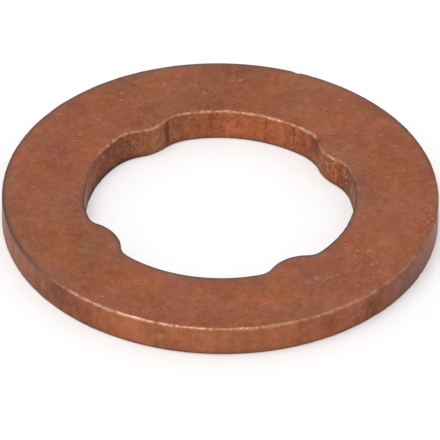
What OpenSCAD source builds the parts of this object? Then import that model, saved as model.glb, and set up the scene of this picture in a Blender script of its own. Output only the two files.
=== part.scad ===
// Injector seal ring: one flat copper washer, punched from sheet. Four low rounded lobes stand into its
// bore and grip the injector's nose, so that the ring stays on while the injector goes down its well.
// Z is the ring's axis. The origin is its centre on the lower sealing face, and one lobe points along +X.

/* [Ring] */
// Outside diameter
outer_d = 20; // [16:0.5:30]
// Diameter of the plain bore between the lobes
bore_d = 12.3; // [10:0.1:15]
// Thickness of the copper sheet
thickness = 1.5; // [1:0.1:3]

/* [Lobes] */
// Number of lobes
lobe_count = 4; // [2:1:6]
// How far a lobe stands in from the plain bore
lobe_height = 0.45; // [0.3:0.05:0.8]
// Radius of a lobe's rounded tip
lobe_tip_r = 2.2; // [1.5:0.1:3]
// Radius of the hollow that leads from a lobe into the plain bore
lobe_root_r = 1.7; // [1:0.1:3]

/* [Edges] */
// Radius of the two rim edges
rim_edge_r = 0.08; // [0.04:0.02:0.3]
// Width and depth of the break on the two bore edges
bore_break = 0.08; // [0.04:0.02:0.3]

/* [Hidden] */
$fn = 96;

copper = [0.59, 0.37, 0.28];

// Sides of the small circle that rounds a rim edge
edge_fn = 16;
// A cut runs this far past the face that it opens
cut_past = 0.5;
// A root's circle is cut this much over size, so that it crosses the two circles that it should just touch
root_over = 0.0001;

outer_r = outer_d / 2;
bore_r = bore_d / 2;
grip_r = bore_r - lobe_height;

// On the +X lobe, the tip's circle touches a root's circle, which touches the plain bore from inside. So
// the centres are these far from the axis and from each other, and the wall has no corner where arcs meet
tip_x = grip_r + lobe_tip_r;
root_reach = bore_r - lobe_root_r;
tip_to_root = lobe_tip_r + lobe_root_r;

// Half of the angle that a lobe takes at the axis, from the sides of that triangle
lobe_half_a = acos((root_reach ^ 2 + tip_x ^ 2 - tip_to_root ^ 2) / (2 * root_reach * tip_x));
root_centre = root_reach * [cos(lobe_half_a), sin(lobe_half_a)];
foot_corner = tip_x * [cos(lobe_half_a), sin(lobe_half_a)];

// A round post or hole whose radius grows by lean over its height, or shrinks where lean is below 0
module round_wall(r, h, lean) {
    cylinder(r1 = r, r2 = r + lean, h = h);
}

// The metal that fills one side of a lobe between its tip and the bore, hollowed by the root's circle
module lobe_foot(h, lean) {
    difference() {
        linear_extrude(h)
            polygon([[tip_x, 0], root_centre, foot_corner]);
        translate(root_centre)
            round_wall(lobe_root_r + root_over, h, lean);
    }
}

module lobe(h, lean) {
    translate([tip_x, 0])
        round_wall(lobe_tip_r, h, -lean);
    lobe_foot(h, lean);
    mirror([0, 1, 0])
        lobe_foot(h, lean);
}

// The space inside the bore, round the lobes. Its wall leans out into the metal by lean over the height h
module bore_space(h, lean) {
    difference() {
        round_wall(bore_r, h, lean);
        for (i = [0 : lobe_count - 1])
            rotate([0, 0, i * 360 / lobe_count])
                lobe(h, lean);
    }
}

// What breaks the bore's upper edge at 45 degrees, all round the lobes
module bore_edge_cut() {
    h = bore_break + cut_past;
    translate([0, 0, thickness - bore_break])
        bore_space(h, h);
}

// A disc of the sheet, with its rim edges rounded
module blank() {
    e = rim_edge_r;
    rotate_extrude() {
        square([outer_r - e, thickness]);
        translate([0, e])
            square([outer_r, thickness - 2 * e]);
        for (y = [e, thickness - e])
            translate([outer_r - e, y])
                circle(r = e, $fn = edge_fn);
    }
}

module seal_ring() {
    color(copper)
        difference() {
            blank();
            translate([0, 0, -cut_past])
                bore_space(thickness + 2 * cut_past, 0);
            bore_edge_cut();
            translate([0, 0, thickness])
                mirror([0, 0, 1])
                    bore_edge_cut();
        }
}

seal_ring();
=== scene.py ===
import math
import bpy
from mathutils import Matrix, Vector, kdtree


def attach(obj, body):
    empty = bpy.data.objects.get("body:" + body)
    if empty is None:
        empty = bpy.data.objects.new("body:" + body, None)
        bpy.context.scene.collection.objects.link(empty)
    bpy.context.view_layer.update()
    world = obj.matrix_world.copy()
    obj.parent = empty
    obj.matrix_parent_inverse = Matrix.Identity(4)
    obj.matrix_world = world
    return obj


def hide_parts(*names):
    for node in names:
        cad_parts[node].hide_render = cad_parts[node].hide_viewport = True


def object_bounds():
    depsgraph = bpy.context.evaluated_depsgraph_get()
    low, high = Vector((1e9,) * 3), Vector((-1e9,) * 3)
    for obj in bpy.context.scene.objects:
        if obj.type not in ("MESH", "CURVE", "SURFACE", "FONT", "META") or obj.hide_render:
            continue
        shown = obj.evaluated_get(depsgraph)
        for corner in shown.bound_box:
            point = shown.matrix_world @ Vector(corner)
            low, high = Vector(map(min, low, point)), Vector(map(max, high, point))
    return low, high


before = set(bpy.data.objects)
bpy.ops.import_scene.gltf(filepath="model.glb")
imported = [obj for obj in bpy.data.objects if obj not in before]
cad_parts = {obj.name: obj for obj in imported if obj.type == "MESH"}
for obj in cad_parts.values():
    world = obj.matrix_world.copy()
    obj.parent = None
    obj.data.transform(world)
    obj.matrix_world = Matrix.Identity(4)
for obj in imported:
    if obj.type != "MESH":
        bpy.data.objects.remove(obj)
cadLow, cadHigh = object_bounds()
mm = 0.001
outerR = (cadHigh.x - cadLow.x) / 2 / mm  # the ring's own sizes, in mm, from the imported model
thick = (cadHigh.z - cadLow.z) / mm
print("frame loaded: ring", round(2 * outerR, 2), "mm across and", round(thick, 2), "mm thick")

view = {
    "azimuth": -32.5,  # degrees round the ring: the first lobe then stands at the back right
    "elevation": 37.7,  # degrees above the face
    "roll": 0.76,  # degrees that the photograph leans
    "distance": 0.65,  # m, so far off that the rim's back is hardly smaller than its front
    "share": 0.9934,  # of the picture's width that the ring takes
    "sensorWidth": 36,  # mm
    "clipStart": 0.05,  # m
    "clipEnd": 20,  # m
}


def makeCamera():
    a, e = math.radians(view["azimuth"]), math.radians(view["elevation"])
    back = Vector((math.sin(a) * math.cos(e), -math.cos(a) * math.cos(e), math.sin(e)))
    bpy.ops.object.camera_add(location=back * view["distance"])
    camera = bpy.context.object
    camera.name = "camera"
    camera.rotation_euler = (-back).to_track_quat("-Z", "Y").to_euler()
    camera.rotation_euler.rotate_axis("Z", math.radians(view["roll"]))
    camera.data.sensor_width = view["sensorWidth"]
    camera.data.lens = view["sensorWidth"] * view["distance"] * view["share"] / (2 * outerR * mm)
    camera.data.clip_start = view["clipStart"]
    camera.data.clip_end = view["clipEnd"]
    bpy.context.scene.camera = camera


makeCamera()
print("camera set")

ring = {
    # lengths in mm, as everywhere until the ring is shrunk to metres, and angles in degrees
    # the bore's arcs on the upper face, and on the lower one, where the punch tore them out softer: the
    # bore's own middle and radius, and the radii of a lobe's tip and of the hollows beside it
    "upper": {"axis": (-0.018, 0.057), "boreR": 6.195, "tipR": 1.9, "rootR": 0.85},
    "lower": {"axis": (0.0, 0.0), "boreR": 6.10, "tipR": 2.3, "rootR": 2.4},
    "lobes": [
        # where each stands round the ring, and how far it stands in on the upper and on the lower face
        {"angle": 1.4, "upper": 0.49, "lower": 0.38},
        {"angle": 89.6, "upper": 0.46, "lower": 0.38},
        {"angle": 180.0, "upper": 0.61, "lower": 0.40},
        {"angle": 270.3, "upper": 0.57, "lower": 0.40},
    ],
    "edgeR": 0.08,
    "rimEdge": {"segments": 5, "profile": 0.5},
    "boreEdge": {"segments": 4, "profile": 0.4},
    "stepsPerTurn": 720,
    "stepsPerLobe": (14, 24, 14),  # hollow, tip, hollow
    "faceCuts": 20,
    "wallCuts": 11,
    "sharpAngle": 60,
    "smoothAngle": 40,
    "hair": 0.001,  # places and heights that lie closer than this count as one
    "wear": {
        # name: parts that it touches, size of its bumps, octaves, how deep it eats, stretch along Z
        "rolledSheet": ("faces", 2.4, 1, 0.010, 1),
        "faceGrain": ("faces", 0.5, 2, 0.004, 1),
        "shearBands": ("walls", 1.1, 2, 0.030, 14),
        "shearLines": ("walls", 0.30, 1, 0.014, 14),
        "boreTearing": ("bore", 0.28, 2, 0.030, 2),
        "rubbedEdges": ("edges", 0.75, 2, 0.024, 1),
        "chippedEdges": ("edges", 0.20, 2, 0.030, 1),
    },
    "nicks": [
        # the radius, angle and height of its middle, how far in and down it goes, and how far it reaches:
        # four in the rim, and a stretch of the bore's upper edge that stands in
        {"radius": outerR, "angle": 36.8, "z": thick, "in": 0.025, "down": 0.03, "width": 0.30},
        {"radius": outerR, "angle": -43.6, "z": thick, "in": 0.03, "down": 0.05, "width": 0.35},
        {"radius": outerR, "angle": -137.7, "z": 1.0, "in": 0.05, "down": 0.0, "width": 0.28},
        {"radius": outerR, "angle": -151.0, "z": thick, "in": 0.04, "down": 0.04, "width": 0.22},
        {"radius": 6.25, "angle": 143.0, "z": thick, "in": 0.11, "down": 0.0, "width": 1.4},
    ],
}


def polar(radius, angle, z=0.0):
    return Vector((radius * math.cos(angle), radius * math.sin(angle), z))


def radiusOf(point):
    return math.hypot(point.x, point.y)


def pick(piece, kind, test, among=None):
    # selects the vertices or edges of a mesh whose ends pass a test on their place, out of all, or of the
    # sharp or the open ones, and leaves the mesh in edit mode
    bpy.ops.object.mode_set(mode="EDIT")
    bpy.ops.mesh.select_mode(type=kind)
    bpy.ops.mesh.select_all(action="DESELECT")
    if among == "SHARP":
        bpy.ops.mesh.edges_select_sharp(sharpness=math.radians(ring["sharpAngle"]))
    if among == "OPEN":
        bpy.ops.mesh.select_non_manifold()
    bpy.ops.object.mode_set(mode="OBJECT")
    mesh = piece.data
    for item in mesh.vertices if kind == "VERT" else mesh.edges:
        ends = [item] if kind == "VERT" else [mesh.vertices[i] for i in item.vertices]
        item.select = (item.select or not among) and test([end.co for end in ends])
    bpy.ops.object.mode_set(mode="EDIT")


def spinArc(centre, turn, steps):
    bpy.ops.mesh.spin(steps=steps, angle=-turn, center=centre, axis=(0, 0, 1))


def lobeArcs(face, lobe):
    # from the triangle between the bore's middle, the centre of a lobe's tip and that of the hollow beside it
    arcs = ring[face]
    tipX = arcs["boreR"] - lobe[face] + arcs["tipR"]
    rootX = arcs["boreR"] - arcs["rootR"]
    apart = arcs["tipR"] + arcs["rootR"]
    half = math.acos((rootX ** 2 + tipX ** 2 - apart ** 2) / (2 * rootX * tipX))
    halfTip = math.atan2(rootX * math.sin(half), tipX - rootX * math.cos(half))
    angle = math.radians(lobe["angle"])
    return {"angle": angle, "tipX": tipX, "rootX": rootX, "half": half, "halfTip": halfTip}


def drawBore(face, z):
    # the bore's outline as one chain of arcs, each spun on from the end of the last: a plain stretch, then
    # the hollow, the tip and the second hollow of the next lobe
    shapes = [lobeArcs(face, lobe) for lobe in ring["lobes"]]
    first = shapes[0]
    axis = Vector((*ring[face]["axis"], z))
    start = axis + polar(ring[face]["boreR"], first["angle"] + first["half"])
    bpy.ops.mesh.primitive_plane_add(size=1, location=start)
    piece = bpy.context.object
    bpy.ops.object.transform_apply(location=True)
    bpy.ops.object.mode_set(mode="EDIT")
    bpy.ops.mesh.select_mode(type="VERT")
    bpy.ops.mesh.merge(type="CENTER")  # the plane becomes the one vertex that the arcs start from
    hollowSteps, tipSteps, lastSteps = ring["stepsPerLobe"]
    plainSteps = ring["stepsPerTurn"] // len(shapes) - sum(ring["stepsPerLobe"])
    last = first
    for shape in shapes[1:] + [first]:
        plain = (shape["angle"] - shape["half"] - last["angle"] - last["half"]) % (2 * math.pi)
        hollow, tip = shape["half"] + shape["halfTip"], 2 * shape["halfTip"]
        before, after = shape["angle"] - shape["half"], shape["angle"] + shape["half"]
        spinArc(axis, plain, plainSteps)
        spinArc(axis + polar(shape["rootX"], before), hollow, hollowSteps)
        spinArc(axis + polar(shape["tipX"], shape["angle"]), -tip, tipSteps)
        spinArc(axis + polar(shape["rootX"], after), hollow, lastSteps)
        last = shape
    bpy.ops.mesh.select_all(action="SELECT")
    bpy.ops.mesh.remove_doubles(threshold=ring["hair"])
    return piece


def drawFace(face, z):
    piece = drawBore(face, z)
    bpy.ops.mesh.primitive_circle_add(vertices=ring["stepsPerTurn"], radius=outerR, location=(0, 0, z))
    bpy.ops.mesh.select_all(action="SELECT")
    bpy.ops.mesh.bridge_edge_loops(number_cuts=ring["faceCuts"], interpolation="LINEAR")
    bpy.ops.object.mode_set(mode="OBJECT")
    return piece


def punchRing():
    # gives the ring, and the places on its bore's wall
    lower = drawFace("lower", 0)
    piece = drawFace("upper", thick)
    lower.select_set(True)
    bpy.ops.object.join()
    middleR = (ring["upper"]["boreR"] + outerR) / 2
    for outside in (True, False):
        pick(piece, "EDGE", lambda ends: (radiusOf(ends[0]) > middleR) == outside, among="OPEN")
        bpy.ops.mesh.bridge_edge_loops(number_cuts=ring["wallCuts"], interpolation="LINEAR")
    bpy.ops.object.mode_set(mode="OBJECT")
    wall = [vertex.co.copy() for vertex in piece.data.vertices if vertex.select]  # the last wall, the bore's
    bpy.ops.object.mode_set(mode="EDIT")
    bpy.ops.mesh.select_all(action="SELECT")
    bpy.ops.mesh.normals_make_consistent(inside=False)
    for outside, edge in ((True, ring["rimEdge"]), (False, ring["boreEdge"])):
        pick(piece, "EDGE", lambda ends: (radiusOf(ends[0]) > middleR) == outside, among="SHARP")
        bpy.ops.mesh.bevel(offset=ring["edgeR"], segments=edge["segments"], profile=edge["profile"])
    bpy.ops.mesh.select_all(action="DESELECT")
    bpy.ops.object.mode_set(mode="OBJECT")
    return piece, wall


def gapsTo(piece, wall):
    # how far each vertex lies from the bore's wall as it was punched
    tree = kdtree.KDTree(len(wall))
    for i, point in enumerate(wall):
        tree.insert(point, i)
    tree.balance()
    return [tree.find(vertex.co)[2] for vertex in piece.data.vertices]


def groupParts(piece, gaps):
    parts = {"faces": [], "walls": [], "bore": [], "edges": []}
    for vertex, gap in zip(piece.data.vertices, gaps):
        toFace = min(vertex.co.z, thick - vertex.co.z)
        toRim = outerR - radiusOf(vertex.co)
        if toFace < ring["hair"]:
            parts["faces"].append(vertex.index)
        elif toFace < ring["edgeR"] + ring["hair"]:
            parts["edges"].append(vertex.index)
        else:
            parts["walls"].append(vertex.index)
            if gap < toRim:
                parts["bore"].append(vertex.index)
    for name, members in parts.items():
        piece.vertex_groups.new(name=name).add(members, 1, "REPLACE")


def weatherRing(piece):
    bpy.ops.object.select_all(action="DESELECT")
    for name, (part, size, octaves, depth, stretch) in ring["wear"].items():
        bpy.ops.object.empty_add()
        ruler = bpy.context.object
        ruler.scale.z = stretch
        bpy.context.view_layer.objects.active = piece
        bpy.ops.object.modifier_add(type="DISPLACE")
        press = piece.modifiers[-1]
        press.texture = bpy.data.textures.new(name, type="CLOUDS")
        press.texture.noise_scale = size
        press.texture.noise_depth = octaves
        press.texture_coords = "OBJECT"
        press.texture_coords_object = ruler
        press.vertex_group = part
        press.mid_level = 1  # so that nothing ever stands proud of the sheet
        press.strength = depth
        bpy.ops.object.modifier_apply(modifier=press.name)
        bpy.data.objects.remove(ruler)


def nickRing(piece):
    bpy.context.view_layer.objects.active = piece
    for nick in ring["nicks"]:
        angle = math.radians(nick["angle"])
        place = polar(nick["radius"], angle, nick["z"])
        points = [vertex.co.copy() for vertex in piece.data.vertices]
        nearest = min(points, key=lambda point: (point - place).length)
        pick(piece, "VERT", lambda ends: ends[0] == nearest)
        bpy.ops.transform.translate(
            value=polar(-nick["in"], angle, -nick["down"]), use_proportional_edit=True,
            proportional_edit_falloff="SMOOTH", proportional_size=nick["width"])
        bpy.ops.object.mode_set(mode="OBJECT")


def finishRing(piece, gaps):
    # notes the gaps for the material, shrinks the ring from mm to metres and smooths its shading
    piece.vertex_groups.clear()
    gapNote = piece.data.attributes.new("boreGap", "FLOAT", "POINT")
    gapNote.data.foreach_set("value", gaps)
    bpy.ops.object.select_all(action="DESELECT")
    piece.select_set(True)
    bpy.ops.transform.resize(value=(mm, mm, mm), center_override=(0, 0, 0))
    bpy.ops.object.transform_apply(location=True, rotation=True, scale=True)
    bpy.ops.object.shade_smooth_by_angle(angle=math.radians(ring["smoothAngle"]))


bpy.ops.object.select_all(action="DESELECT")
copperRing, boreWall = punchRing()
copperRing.name = "copper_ring"
print("ring punched:", len(copperRing.data.polygons), "faces", len(boreWall), "on the bore's wall")
boreGaps = gapsTo(copperRing, boreWall)
groupParts(copperRing, boreGaps)
weatherRing(copperRing)
nickRing(copperRing)
finishRing(copperRing, boreGaps)
print("ring weathered")


class Wire:
    # a shader socket that takes part in Python sums
    def __init__(self, tree, socket=None):
        self.tree = tree
        self.socket = socket

    def node(self, kind, settings=(), values=(), output=0):
        # a new node: its settings come first, then what its sockets are set or linked to
        made = self.tree.nodes.new("ShaderNode" + kind)
        for name, setting in dict(settings).items():
            if name == "stops":
                ramp = made.color_ramp
                while len(ramp.elements) < len(setting):
                    ramp.elements.new(0.5)
                for element, (position, colour) in zip(ramp.elements, setting):
                    element.position = position
                    element.color = colour
            else:
                setattr(made, name, setting)
        for name, value in dict(values).items():
            if isinstance(value, Wire):
                self.tree.links.new(value.socket, made.inputs[name])
            else:
                made.inputs[name].default_value = value
        return Wire(self.tree, made.outputs[output] if made.outputs else None)

    def maths(self, operation, *others):
        return self.node("Math", {"operation": operation}, enumerate((self, *others)))

    def __add__(self, other):
        return self.maths("ADD", other)

    def __sub__(self, other):
        return self.maths("SUBTRACT", other)

    def __rsub__(self, other):
        return self.maths("MULTIPLY_ADD", -1, other)

    def __mul__(self, other):
        return self.maths("MULTIPLY", other)

    def __truediv__(self, other):
        return self.maths("DIVIDE", other)

    __radd__ = __add__
    __rmul__ = __mul__

    def smallest(self, other):
        return self.maths("MINIMUM", other)

    def largest(self, other):
        return self.maths("MAXIMUM", other)

    def between(self, low, high):
        # 0 below low and 1 above high, or the other way round where low is the larger
        return self.node("MapRange", {"interpolation_type": "SMOOTHSTEP"}, {0: self, 1: low, 2: high})

    def roundOf(self, middle):
        # degrees between this angle and a middle one, the short way round
        return (self - middle).maths("PINGPONG", 180)

    def mapped(self, scale, shift=(0, 0, 0)):
        return self.node("Mapping", {}, {"Vector": self, "Scale": scale, "Location": shift})

    def awayFrom(self, middle):
        # how far this place lies from another
        offset = self.node("VectorMath", {"operation": "SUBTRACT"}, {0: self, 1: middle})
        return self.node("VectorMath", {"operation": "LENGTH"}, {0: offset}, 1)

    def noise(self, size, seed, detail, rough):
        # cloudy noise on a place in mm, about size mm between its patches, with 0.5 as its mean
        values = {"Vector": self, "W": seed, "Scale": 1 / size, "Detail": detail, "Roughness": rough}
        return self.node("TexNoise", {"noise_dimensions": "4D"}, values)

    def blend(self, first, second):
        # this socket is the mask that lays the second colour over the first
        values = {0: self}
        for key, colour in ((6, first), (7, second)):
            values[key] = colour if isinstance(colour, Wire) else (*colour, 1)
        return self.node("Mix", {"data_type": "RGBA"}, values, 2)

    def scaled(self, factor):
        return self.node("VectorMath", {"operation": "SCALE"}, {0: self, "Scale": factor})


copper = {
    # places in mm on the ring, angles in degrees round it, and strengths, most of them from 0 to 1
    "colours": {
        # as light shares of red, green and blue
        "tan": (0.3210, 0.1026, 0.0434),
        "red": (0.2985, 0.0946, 0.0565),
        "violet": (0.2733, 0.1068, 0.0584),
        "pale": (0.340, 0.122, 0.066),
        "speck": (0.50, 0.23, 0.16),
        "pit": (0.17, 0.039, 0.014),
        # bare copper for the edges' wear and painted highlight, then the edges' painted shade: its line and
        # its broad band
        "bright": (0.56, 0.29, 0.19),
        "dark": (0.110, 0.047, 0.032),
        "edgeShade": (0.178, 0.096, 0.079),
        # grime, used too as painted shade at the feet of the lobes, low on the bore's wall and on the rim's
        # wall
        "grimeAndShade": (0.105, 0.033, 0.018),
        "stain": (0.27, 0.18, 0.18),
        "slate": (0.21, 0.12, 0.11),
        "wine": (0.235, 0.064, 0.040),
        "olive": (0.200, 0.092, 0.045),
        "ember": (0.400, 0.115, 0.050),
        "grains": (0.52, 0.255, 0.15),
        "blush": (0.43, 0.205, 0.150),
        # painted shade on the lower edges of the shaded side
        "lowEdgeShade": (0.040, 0.018, 0.014),
    },
    "patterns": {
        # name: mm between its patches, seed, detail, roughness, and its scale along Z, where less than 1
        # draws it out from face to face
        "patches": (2.6, 1, 5, 0.55, 1),
        "hue": (2.2, 2, 8, 0.70, 1),
        "flush": (1.7, 11, 5, 0.65, 1),
        "ragged": (0.45, 4, 3, 0.6, 1),
        "streaks": (0.35, 5, 4, 0.7, 0.08),
        "blotches": (0.8, 6, 4, 0.7, 0.5),
        "torn": (0.16, 7, 3, 0.7, 1),
        "grain": (0.12, 3, 3, 0.8, 1),
        "mottle": (0.33, 15, 2, 0.6, 1),
        "crowd": (2.0, 12, 2, 0.5, 1),
        "flecks": (0.25, 17, 1, 0.5, 1),
        "specks": (0.17, 13, 1, 0.5, 1),
        "pits": (0.22, 14, 1, 0.5, 1),
        "broken": (0.12, 8, 2, 0.6, 1),
        "grains": (0.13, 19, 1, 0.6, 0.6),
        "fray": (0.09, 20, 2, 0.7, 1),
        "dashes": (0.60, 9, 4, 0.8, 1),
        "chips": (0.17, 16, 2, 0.7, 1),
    },
    "rimTintsAndShading": [
        # angle, and the rim wall's colour there: tarnished, with painted reflection and shade, lighter at the
        # front and darker to either side
        (-180, (0.286, 0.112, 0.066)),
        (-162, (0.290, 0.102, 0.056)),
        (-146, (0.415, 0.147, 0.070)),
        (-118, (0.390, 0.140, 0.068)),
        (-92, (0.340, 0.113, 0.060)),
        (-72, (0.250, 0.090, 0.053)),
        (-54, (0.232, 0.102, 0.080)),
        (-30, (0.290, 0.125, 0.095)),
        (60, (0.340, 0.120, 0.064)),
        (115, (0.275, 0.104, 0.064)),
        (155, (0.292, 0.124, 0.086)),
        (180, (0.286, 0.112, 0.066)),
    ],
    "boreTintsAndShading": [
        # and on the bore's, with painted reflection and shade: lighter at its back, darker on its two sides
        (-180, (0.300, 0.108, 0.060)),
        (-90, (0.330, 0.115, 0.060)),
        (-33, (0.185, 0.056, 0.026)),
        (-13, (0.205, 0.064, 0.029)),
        (-4, (0.335, 0.108, 0.045)),
        (10, (0.335, 0.112, 0.052)),
        (28, (0.415, 0.132, 0.058)),
        (44, (0.445, 0.140, 0.058)),
        (58, (0.440, 0.138, 0.062)),
        (76, (0.290, 0.104, 0.054)),
        (90, (0.330, 0.125, 0.060)),
        (96, (0.335, 0.132, 0.062)),
        (103, (0.225, 0.084, 0.040)),
        (130, (0.230, 0.070, 0.038)),
        (150, (0.240, 0.088, 0.050)),
        (180, (0.300, 0.108, 0.060)),
    ],
    "rubbedAndLit": {
        # angle, and how far the upper edge of the rim or of the bore is bright there: bare copper from wear,
        # and a painted highlight
        "rim": [
            (-180, 0.10), (-172, 0.30), (-162, 0.85), (-134, 1.00), (-122, 0.70), (-96, 0.60),
            (-80, 0.42), (-60, 0.30), (-48, 0.10), (-36, 0.00), (170, 0.00), (180, 0.10),
        ],
        "bore": [
            (-180, 0.00), (-22, 0.00), (-13, 0.40), (-5, 0.85), (4, 0.60), (9, 0.10), (15, 0.90),
            (40, 1.00), (50, 0.85), (62, 0.75), (74, 0.95), (81, 0.45), (88, 0.85), (105, 0.85),
            (115, 0.50), (130, 0.35), (142, 0.00), (180, 0.00),
        ],
    },
    "edgeShading": {
        # angle, and how dark the painted shade is on that edge
        "rim": [
            (-180, 0.60), (-165, 0.45), (-130, 0.10), (-30, 0.10), (-12, 0.60), (5, 0.80), (180, 0.60),
        ],
        "bore": [
            (-180, 0.85), (-60, 0.80), (-40, 0.50), (-33, 0.15), (-12, 0.12), (0, 0.30), (7, 0.10),
            (15, 0.10), (22, 0.30), (140, 0.30), (160, 0.60), (180, 0.85),
        ],
    },
    "greyed": {
        # angle, and how grey the upper face is in a margin along that edge
        "rim": [
            (-180, 0.18), (-150, 0.10), (-120, 0.00), (-40, 0.00), (-20, 0.10), (20, 0.15),
            (120, 0.14), (150, 0.22), (180, 0.18),
        ],
        "bore": [
            (-180, 0.22), (-100, 0.22), (-85, 0.12), (-60, 0.05), (-40, 0.14), (-20, 0.22), (5, 0.12),
            (20, 0.00), (110, 0.00), (140, 0.14), (180, 0.22),
        ],
    },
    "spots": [
        # blotches on the upper face: x and y, how wide, which colour, how strong
        (-3.2, 7.75, 2.6, "pale", 0.5),
        (4.3, -7.3, 2.2, "pale", 0.6),
        (6.2, 5.4, 1.5, "tan", 0.8),
        (-8.4, -0.6, 1.4, "tan", 0.8),
        (3.1, 6.3, 1.0, "tan", 0.6),
        (3.9, 7.5, 1.2, "tan", 0.7),
        (1.5, 8.3, 1.8, "tan", 0.7),
        (-0.7, 8.3, 1.8, "tan", 0.5),
        (7.9, -2.9, 1.6, "tan", 0.6),
        (7.4, 1.0, 1.3, "tan", 0.4),
        (-6.8, -5.1, 1.8, "tan", 0.6),
        (-1.4, -7.8, 1.0, "tan", 0.5),
        (2.1, -7.3, 1.2, "tan", 0.5),
        (-6.3, 0.0, 1.6, "grimeAndShade", 0.07),
        (-3.6, -6.4, 1.6, "grimeAndShade", 0.07),
        (5.6, -3.5, 1.9, "slate", 0.22),
        (6.00, 1.10, 0.70, "grimeAndShade", 0.5),
        (2.3, -6.3, 0.5, "tan", 0.9),
        (-6.5, 4.2, 1.6, "violet", 0.6),
        (0.34, -7.38, 0.75, "grimeAndShade", 0.30),
        (0.42, -7.53, 0.46, "stain", 0.65),
        (5.35, 6.84, 0.28, "speck", 0.7),
        (0.17, 8.85, 0.26, "speck", 0.7),
        (2.18, 8.42, 0.22, "speck", 0.5),
        (4.98, 4.71, 0.26, "speck", 0.6),
        (8.47, 3.20, 0.24, "speck", 0.5),
        (3.46, 6.85, 0.20, "speck", 0.5),
        (2.79, -7.05, 0.20, "speck", 0.6),
    ],
    "wallMarks": [
        # blotches on the walls: which wall's radius, angle, height, how wide, which colour, how strong. The
        # darkest ones on the rim's wall and the one at 99 degrees in the bore are painted shade
        (6.1, 118.0, 0.45, 1.1, "wine", 0.65),
        (6.1, 106.0, 1.20, 1.0, "olive", 0.70),
        (5.8, 99.0, 0.60, 0.7, "grimeAndShade", 0.45),
        (6.1, 72.0, 0.75, 0.9, "ember", 0.55),
        (6.1, 20.0, 0.55, 0.9, "ember", 0.40),
        (5.7, -0.5, 0.70, 0.8, "ember", 0.45),
        (9.95, -64.0, 0.45, 2.2, "slate", 0.60),
        (9.95, -78.0, 0.70, 1.3, "grimeAndShade", 0.50),
        (9.95, -92.0, 0.90, 1.1, "grimeAndShade", 0.35),
        (9.95, -137.9, 0.75, 0.5, "bright", 0.45),
        (9.95, -151.5, 0.50, 1.6, "ember", 0.40),
        (9.95, -161.0, 1.00, 1.2, "wine", 0.40),
        (9.95, -170.0, 0.95, 1.6, "grimeAndShade", 0.40),
    ],
    "seamsAndShade": [
        # upright dark lines in the bore's wall, most of them painted shade at the feet of the lobes: angle,
        # how wide in degrees, the height that they start from, which colour, how strong
        (82.0, 2.0, 0.0, "grimeAndShade", 0.85),
        (12.0, 5.0, 0.65, "wine", 0.85),
        (8.3, 1.2, 0.0, "grimeAndShade", 0.35),
        (-12.0, 2.6, 0.0, "grimeAndShade", 0.45),
        (-20.5, 1.3, 0.0, "grimeAndShade", 0.50),
        (-31.5, 1.5, 0.0, "grimeAndShade", 0.60),
        (-38.5, 1.6, 0.4, "grimeAndShade", 0.60),
        (24.8, 0.7, 0.0, "grimeAndShade", 0.55),
        (38.1, 0.7, 0.0, "grimeAndShade", 0.45),
        (188.0, 1.5, 0.0, "grimeAndShade", 0.6),
        (171.0, 1.5, 0.0, "grimeAndShade", 0.6),
        (262.0, 1.5, 0.0, "grimeAndShade", 0.6),
        (278.5, 1.5, 0.0, "grimeAndShade", 0.6),
    ],
    "scratches": [
        # start and end on the upper face, how wide, which colour, how strong
        ((0.46, -7.87), (1.44, -7.85), 0.06, "speck", 0.75),
        ((2.86, -8.01), (3.15, -7.97), 0.06, "speck", 0.9),
        ((4.35, -7.17), (4.79, -7.17), 0.06, "speck", 0.9),
        ((-3.19, -7.58), (-3.23, -7.81), 0.06, "speck", 0.9),
        ((-2.82, -7.93), (-2.47, -7.97), 0.06, "speck", 0.9),
        ((3.18, -6.80), (2.98, -6.83), 0.06, "speck", 0.8),
        ((2.86, -8.01), (3.44, -8.01), 0.05, "speck", 0.9),
        ((3.37, -7.18), (3.65, -7.00), 0.06, "speck", 0.8),
        ((8.75, -1.08), (8.64, -1.60), 0.06, "speck", 0.5),
        ((-0.19, -8.16), (-0.62, -8.62), 0.09, "grimeAndShade", 0.45),
    ],
    "crumbs": [
        # where the metal is broken up into pale grains: x and y, how wide, which colour
        (5.45, -0.30, 1.6, "grains"),
        (5.90, -1.25, 0.9, "grains"),
        (5.80, -2.10, 0.8, "blush"),
        (5.45, -2.85, 0.6, "blush"),
        (7.20, -6.60, 0.9, "blush"),
        (7.70, -5.85, 0.5, "blush"),
        (6.65, -7.25, 0.6, "blush"),
        (-0.90, 5.65, 0.8, "grains"),
    ],
    # degrees: the middle of a side, and how far from it the side ends and where it is full
    "shadedSide": (132, 26, 12),
    "lowEdgeShadeSide": (124, 34, 20),  # where the lower edges carry painted shade
    # mm: how far in a thing ends, and where it is full
    "rimSide": (3, 2),  # the half of the face that counts as the rim's
    "greyMargin": (0.95, 0.20),
    # where the edges' painted shade reaches: a broad band, a dark line, and the band on the lower edges
    "edgeShadeReach": (0.30, 0.13),
    "shadeLineReach": (0.140, 0.085),
    "lowEdgeShadeReach": (0.32, 0.10),
    # and where the painted highlight with the wear reaches
    "highlightReach": (0.135, 0.065),
    # how far the patterns push the walls' tints and seams, in degrees, and the margins and the edges' marks,
    # in mm
    "tintStray": 12,
    "seamStray": 1.6,
    "marginStray": 0.8,
    "tornEdges": 0.09,
    "frayedEdges": 0.05,
    "dashedEdges": 0.06,
    # how much lighter and darker the patterns make the metal
    "patchLight": 0.9,
    "wallStreakLight": 0.6,
    "wallBlotchLight": 0.6,
    "boreTornLight": 1.5,
    "boreStreakLight": 0.2,
    "grainSwing": 1.05,
    "mottleSwing": 1.0,
    "darkSwing": 1.2,  # how much more of the two swings their dark side shows than their pale one
    # how strongly each kind of mark shows
    "flecks": 0.72,
    "fleckShades": 0.50,
    "specks": 0.26,
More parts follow.
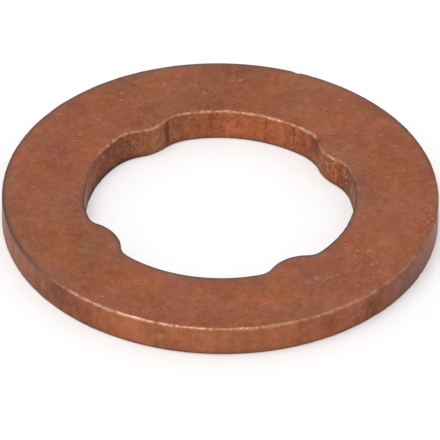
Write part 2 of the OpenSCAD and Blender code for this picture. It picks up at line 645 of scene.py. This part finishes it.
    "pits": 0.36,
    "rimSpared": 0.85,  # of the pits and the flecks' painted shades
    # painted shade low on the bore's wall, on its shaded side
    "lowShade": 0.55,
    "brokenGrains": 0.62,
    "grainGaps": 0.35,
    # the edges' painted shade, and the painted shade on the lower edges
    "edgeShade": 0.9,
    "lowEdgeShade": 0.65,
    # the painted highlight and bare copper of the edges' wear: a base share, and what the dashes and the
    # chips add
    "highlightAndWear": {"all": 0.10, "dashes": 0.45, "chips": 0.70},
    "fleckShift": (0.05, 0.08, 0),  # mm from a fleck to its painted shade
    "roughness": {"mean": 0.50, "grain": 0.25, "highlightAndWear": -0.2, "specks": -0.1},
    "sheen": (0.95, 0.86, 0.80, 1),
    "bumpStrength": 0.6,
    "bumpDepth": 0.006,  # mm
    "bumps": {"grain": 0.5, "flecks": 0.6, "pits": 0.6, "scratches": 0.8},  # shares of that depth
}
tones = copper["colours"]


def newMaterial(name):
    material = bpy.data.materials.new(name)
    material.use_nodes = True
    material.node_tree.nodes.clear()
    return material, Wire(material.node_tree)


class Surface:
    # where a point of the copper lies on the ring, in mm and degrees, and the patterns that run over it
    def __init__(self, wire):
        edgeR = ring["edgeR"]
        self.wire = wire
        self.made = {}
        self.place = wire.node("TexCoord", output="Object").mapped((1 / mm, 1 / mm, 1 / mm))
        self.flat = self.place.mapped((1, 1, 0))
        self.x, self.y, self.z = (wire.node("SeparateXYZ", {}, {0: self.place}, i) for i in range(3))
        self.angle = self.y.maths("ARCTAN2", self.x) * (180 / math.pi)
        self.toFace = self.z.smallest(thick - self.z)
        self.toRim = outerR - self.flat.awayFrom((0, 0, 0))
        self.toBore = wire.node("Attribute", {"attribute_name": "boreGap"}, output="Fac")
        self.onRim = self.toRim.between(edgeR, 0.3 * edgeR)
        self.onBore = self.toBore.between(edgeR, 0.3 * edgeR)
        self.onWall = self.onRim.largest(self.onBore)
        self.onTop = self.z.between(thick - 2 * edgeR, thick - edgeR)
        self.onUpper = self.z.between(0.4 * thick, 0.6 * thick)
        self.byRim = self.toRim.between(*copper["rimSide"])
        self.inShade = self.side("shadedSide")
        crowd = self.pattern("crowd").between(0.35, 0.65)
        self.flecks = self.pattern("flecks").between(0.655, 0.75) * (0.2 + crowd * 0.8)
        self.specks = self.pattern("specks").between(0.68, 0.74) * (0.4 + crowd * 0.6)
        self.pits = self.pattern("pits").between(0.65, 0.75)

    def pattern(self, name, shift=(0, 0, 0)):
        # the noise of that name, made once and then shared
        if (name, shift) not in self.made:
            size, seed, detail, rough, scaleZ = copper["patterns"][name]
            place = self.place.mapped((1, 1, scaleZ), shift)
            self.made[name, shift] = place.noise(size, seed, detail, rough)
        return self.made[name, shift]

    def swing(self, name):
        # how far that noise stands above or below its mean
        return self.pattern(name) - 0.5

    def side(self, name):
        middle, ends, full = copper[name]
        return self.angle.roundOf(middle).between(ends, full)

    def blotch(self, away, width, ends, full):
        # a blotch with ragged sides, which ends and is full at those shares of its width from its middle
        return (away + self.swing("ragged") * width).between(ends * width, full * width)

    def tint(self, angle, tints):
        # a colour, or a plain number, that changes with the angle round the ring
        stops = []
        for degrees, tint in tints:
            colour = tint if isinstance(tint, tuple) else (tint, tint, tint)
            stops.append(((degrees + 180) / 360, (*colour, 1)))
        return self.wire.node("ValToRGB", {"stops": stops}, {0: angle / 360 + 0.5})

    def byEdge(self, name):
        # a strength that runs round the ring, one along the rim and another along the bore
        rim, bore = (self.tint(self.angle, copper[name][edge]) for edge in ("rim", "bore"))
        return rim * self.byRim + bore * (1 - self.byRim)


def faceTarnish(at):
    # the rolled face: soft patches of tan, violet and red, its larger marks, and greyer margins
    face = at.pattern("hue").between(0.36, 0.64).blend(tones["tan"], tones["violet"])
    face = at.pattern("flush").between(0.42, 0.68).blend(face, tones["red"])
    for x, y, width, name, strength in copper["spots"]:
        spot = at.blotch(at.flat.awayFrom((x, y, 0)), width, 0.60, 0.12)
        face = (spot * at.onTop * strength).blend(face, tones[name])
    stray = at.swing("ragged") * copper["marginStray"]
    grey = 0
    for edge, away in (("rim", at.toRim), ("bore", at.toBore)):
        margin = (away + stray).between(*copper["greyMargin"])
        grey = margin * at.tint(at.angle, copper["greyed"][edge]) + grey
    return (grey * at.onTop).blend(face, tones["slate"])


def boreTarnishAndShading(at, wander):
    # the bore's wall: a tint that runs round it with painted reflection and shade, painted shade low on its
    # shaded side, and the upright dark lines, most of them painted shade
    bore = at.tint(wander, copper["boreTintsAndShading"])
    # painted shade low on the wall's shaded side
    low = (at.z + at.swing("torn") * 0.3).between(0.60, 0.30) * at.inShade
    bore = (low * copper["lowShade"]).blend(bore, tones["grimeAndShade"])
    # upright dark lines, most of them painted shade at the feet of the lobes
    for middle, width, start, name, strength in copper["seamsAndShade"]:
        aside = at.angle.roundOf(middle) + at.swing("ragged") * copper["seamStray"]
        seamShade = aside.between(width, 0.2 * width) * at.z.between(start - 0.2, start + 0.2)
        bore = (seamShade * strength).blend(bore, tones[name])
    return bore


def tarnishAndShading(at):
    # the face, the bore's wall and the rim's, with light and shade painted round both walls, and the blotches
    # on both walls
    wander = at.angle + at.swing("blotches") * copper["tintStray"]
    rim = at.tint(wander, copper["rimTintsAndShading"])
    colour = at.onRim.blend(at.onBore.blend(faceTarnish(at), boreTarnishAndShading(at, wander)), rim)
    for radius, middle, height, width, name, strength in copper["wallMarks"]:
        away = at.place.awayFrom(polar(radius, math.radians(middle), height))
        mark = at.blotch(away, width, 0.60, 0.15)
        colour = (mark * at.onWall * strength).blend(colour, tones[name])
    return colour


def paleAndDarkPatches(at, colour):
    # soft paler and darker patches, streaks and blotches on the walls, and torn metal in the bore: the
    # metal's own uneven tone
    walls = at.swing("streaks") * copper["wallStreakLight"] + at.swing("blotches") * copper["wallBlotchLight"]
    bore = at.swing("torn") * copper["boreTornLight"] + at.swing("streaks") * copper["boreStreakLight"]
    light = 1 + at.swing("patches") * copper["patchLight"] + at.onWall * walls + bore * at.onBore
    return colour.scaled(light)


def grainAndFlecks(at, colour):
    # a fine grain, and pale flecks with a painted shade on their near side
    swing = at.swing("grain") * copper["grainSwing"] + at.swing("mottle") * copper["mottleSwing"]
    colour = swing.blend(colour, tones["speck"])
    colour = (swing * -copper["darkSwing"]).blend(colour, tones["pit"])
    # the flecks' painted shade: the same pattern shifted a little, darkening one side as though each fleck
    # were lit from the other
    shades = at.pattern("flecks", copper["fleckShift"]).between(0.64, 0.74)
    dark = shades * copper["fleckShades"] + at.pits * copper["pits"]
    colour = (dark * (1 - at.onRim * copper["rimSpared"])).blend(colour, tones["pit"])
    colour = (at.specks * copper["specks"]).blend(colour, tones["speck"])
    return (at.flecks * copper["flecks"]).blend(colour, tones["speck"])


def scratchMask(at, start, end, width):
    length = math.dist(start, end)
    dx, dy = (end[0] - start[0]) / length, (end[1] - start[1]) / length
    along = (at.x - start[0]) * dx + (at.y - start[1]) * dy
    across = ((at.y - start[1]) * dx - (at.x - start[0]) * dy).maths("ABSOLUTE")
    ends = along.between(-width, width) * along.between(length + width, length - width)
    return across.between(width, width / 3) * ends


def scratch(at, colour):
    # gives the colour with its scratches, and where they are
    broken = at.pattern("broken").between(0.42, 0.56)
    lines = 0
    for start, end, width, name, strength in copper["scratches"]:
        line = scratchMask(at, start, end, width) * broken * at.onTop
        colour = (line * strength).blend(colour, tones[name])
        lines = line + lines
    return colour, lines


def crumble(at, colour):
    # gives the colour with its crumbled metal, and where the grains of that are
    grains = at.pattern("grains").between(0.48, 0.60)
    crumbled = 0
    for x, y, width, name in copper["crumbs"]:
        zone = at.blotch(at.flat.awayFrom((x, y, 0)), width, 0.5, 0.2) * at.z.between(0.2, 0.7)
        colour = (zone * (1 - grains) * copper["grainGaps"]).blend(colour, tones["pit"])
        colour = (zone * grains * copper["brokenGrains"]).blend(colour, tones[name])
        crumbled = (zone * grains).largest(crumbled)
    return colour, crumbled


def edgeWearAndShading(at, colour):
    # the edges: bare copper from wear with a painted highlight along the front of the rim and the back of the
    # bore, and painted shade elsewhere, darkest on the lower edges of the shaded side. Gives the colour, and
    # where the highlight and the wear lie
    dashes = at.pattern("dashes").between(0.34, 0.60)
    chips = at.pattern("chips").between(0.42, 0.58)
    nearest = (at.toRim * at.toRim).smallest(at.toBore * at.toBore)
    fromEdge = (at.toFace * at.toFace + nearest).maths("SQRT") + at.swing("torn") * copper["tornEdges"]
    fromEdge = fromEdge + at.swing("fray") * copper["frayedEdges"] - (dashes - 0.5) * copper["dashedEdges"]
    rubbedAndLit = at.byEdge("rubbedAndLit") * at.onUpper
    shadedEdge = at.byEdge("edgeShading") * at.onUpper + (0.4 + at.inShade * 0.6) * (1 - at.onUpper)
    shadedEdge = (1 - rubbedAndLit) * shadedEdge
    colour = (fromEdge.between(*copper["edgeShadeReach"]) * shadedEdge * copper["edgeShade"]).blend(colour, tones["edgeShade"])
    colour = (fromEdge.between(*copper["shadeLineReach"]) * shadedEdge).blend(colour, tones["dark"])
    # painted shade on the lower edges of the shaded side
    lowEdgeShade = fromEdge.between(*copper["lowEdgeShadeReach"]) * (1 - at.onUpper) * at.side("lowEdgeShadeSide")
    colour = (lowEdgeShade * copper["lowEdgeShade"]).blend(colour, tones["lowEdgeShade"])
    shares = copper["highlightAndWear"]
    wornAndLit = shares["all"] + dashes * shares["dashes"] + chips * shares["chips"]
    highlightAndWear = (fromEdge.between(*copper["highlightReach"]) * rubbedAndLit * wornAndLit).smallest(1)
    return highlightAndWear.blend(colour, tones["bright"]), highlightAndWear


def relief(at, lines, crumbled):
    # the grain, the walls' streaks, the flecks and the crumbled grains stand up; pits and scratches lie in
    shares = copper["bumps"]
    height = shares["grain"] * at.pattern("grain") + at.onWall * at.pattern("streaks") + crumbled
    height = height + shares["flecks"] * at.flecks - shares["pits"] * at.pits - shares["scratches"] * lines
    depth = copper["bumpDepth"] * mm
    return at.wire.node("Bump", {}, {"Strength": copper["bumpStrength"], "Distance": depth, "Height": height})


def copperMaterial():
    material, wire = newMaterial("dulled_copper")
    at = Surface(wire)
    colour = grainAndFlecks(at, paleAndDarkPatches(at, tarnishAndShading(at)))
    colour, lines = scratch(at, colour)
    colour, crumbled = crumble(at, colour)
    colour, highlightAndWear = edgeWearAndShading(at, colour)
    shares = copper["roughness"]
    rough = shares["mean"] + at.swing("grain") * shares["grain"]
    rough = rough + highlightAndWear * shares["highlightAndWear"] + at.specks * shares["specks"]
    shader = wire.node("BsdfPrincipled", {}, {
        "Base Color": colour, "Metallic": 1.0, "Roughness": rough, "Specular Tint": copper["sheen"],
        "Normal": relief(at, lines, crumbled)})
    wire.node("OutputMaterial", {}, {"Surface": shader})
    return material


def dress(piece, material):
    piece.data.materials.clear()
    piece.data.materials.append(material)


dress(copperRing, copperMaterial())
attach(copperRing, "root")
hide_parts("seal_ring")
print("ring dressed")

studio = {
    "floorSize": 6.0,  # m
    "floorColour": (0.80, 0.80, 0.80, 1),
    "floorGlow": 0.31,  # what the floor lacks of white, for the eye and for reflections alone
    "white": (1, 1, 1, 1),
    "fill": 0.62,  # the even light from all round
    "keyPower": 0.9,  # W
    "keySize": 0.30,  # m
    "keyPlace": (-0.12, 0.02, 0.50),
}


def seenStraight(wire):
    # 1 for what is seen straight on, in a reflection or through glass, and 0 for light that falls on things
    seen = wire.node("LightPath", output="Is Camera Ray")
    for ray in ("Is Glossy Ray", "Is Transmission Ray"):
        seen = seen.largest(wire.node("LightPath", output=ray))
    return seen


def floorMaterial():
    material, wire = newMaterial("white_floor")
    glowing = seenStraight(wire) * studio["floorGlow"]
    diffuse = wire.node("BsdfDiffuse", {}, {"Color": studio["floorColour"]})
    glow = wire.node("Emission", {}, {"Color": studio["white"], "Strength": glowing})
    both = wire.node("AddShader", {}, {0: diffuse, 1: glow})
    wire.node("OutputMaterial", {}, {"Surface": both})
    return material


def layFloor():
    bpy.ops.mesh.primitive_plane_add(size=studio["floorSize"])
    floor = bpy.context.object
    floor.name = "floor"
    dress(floor, floorMaterial())


def lightRoom():
    world = bpy.data.worlds.new("studio")
    bpy.context.scene.world = world
    world.use_nodes = True
    world.node_tree.nodes.clear()
    wire = Wire(world.node_tree)
    strength = studio["fill"] + seenStraight(wire) * (1 - studio["fill"])
    light = wire.node("Background", {}, {"Color": studio["white"], "Strength": strength})
    wire.node("OutputWorld", {}, {"Surface": light})


def hangLamp():
    bpy.ops.object.light_add(type="AREA", location=studio["keyPlace"])
    key = bpy.context.object
    key.name = "key_light"
    key.data.size = studio["keySize"]
    key.data.energy = studio["keyPower"]
    key.rotation_euler = (-key.location).to_track_quat("-Z", "Y").to_euler()


layFloor()
lightRoom()
hangLamp()
bpy.context.scene.view_settings.view_transform = "Standard"
print("studio lit")
